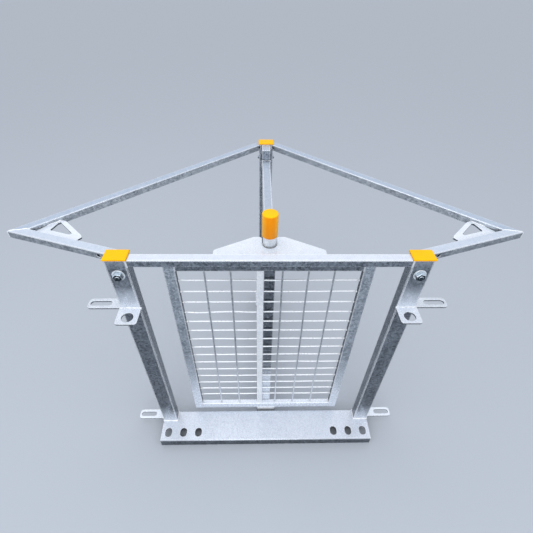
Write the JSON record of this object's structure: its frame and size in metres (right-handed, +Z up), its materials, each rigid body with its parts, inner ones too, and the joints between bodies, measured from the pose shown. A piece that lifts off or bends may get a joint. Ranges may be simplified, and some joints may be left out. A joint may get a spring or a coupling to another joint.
{
  "type": "drafting gate",
  "caption": "Galvanised sheep drafting gate: posts on a folded base plate under a kite of overhead rails, with a hinged T-shaped mesh gate, bracing plate and upright handle.",
  "frame": {"origin": "on the ground below the middle of the bounding box", "axes": "+X to the right across the race, +Y from the race mouth back to the hinge, +Z up"},
  "size_m": [1.568, 0.92, 1.06],
  "materials": {
    "galvanised_steel": "hot-dip galvanised, mottled satin",
    "wire_steel": "galvanised welded wire, satin",
    "fixing_steel": "zinc plated, semi-gloss",
    "cap_plastic": "moulded yellow, gloss",
    "grip_plastic": "moulded amber sleeve, gloss"
  },
  "bodies": {
    "frame": {"base_plate": "galvanised_steel", "top_rail": "galvanised_steel", "apex_post": "galvanised_steel", "apex_post_cap": "cap_plastic", "apex_bolt": "fixing_steel", "hinge_foot": "galvanised_steel", "hinge_head": "galvanised_steel", "upper_hinge_pin": "galvanised_steel", "lower_hinge_pin": "galvanised_steel", "left_post": "galvanised_steel", "left_post_cap": "cap_plastic", "left_post_bolt": "fixing_steel", "left_upper_side_lug": "galvanised_steel", "left_lower_side_lug": "galvanised_steel", "left_front_lug": "galvanised_steel", "left_wing_rail": "galvanised_steel", "left_long_rail": "galvanised_steel", "left_corner_gusset": "galvanised_steel", "right_post": "galvanised_steel", "right_post_cap": "cap_plastic", "right_post_bolt": "fixing_steel", "right_upper_side_lug": "galvanised_steel", "right_lower_side_lug": "galvanised_steel", "right_front_lug": "galvanised_steel", "right_wing_rail": "galvanised_steel", "right_long_rail": "galvanised_steel", "right_corner_gusset": "galvanised_steel"},
    "gate": {"gate_hinge_stile": "galvanised_steel", "upper_hinge_bush": "galvanised_steel", "lower_hinge_bush": "galvanised_steel", "gate_front_stile": "galvanised_steel", "gate_top_bar": "galvanised_steel", "gate_bottom_bar": "galvanised_steel", "arm_mesh": "wire_steel", "panel_left_stile": "galvanised_steel", "panel_right_stile": "galvanised_steel", "panel_top_rail": "galvanised_steel", "panel_bottom_rail": "galvanised_steel", "panel_mesh": "wire_steel", "panel_centre_bar": "galvanised_steel", "gate_skid": "galvanised_steel", "brace_plate": "galvanised_steel", "handle_tube": "galvanised_steel", "handle_grip": "grip_plastic"}
  },
  "joints": [
    {"name": "gate_swing", "type": "hinge", "parent": "frame", "child": "gate", "pos_m": [0, 0.375, 0.5], "axis": [0, 0, 1], "range_deg": [-30, 30]}
  ]
}
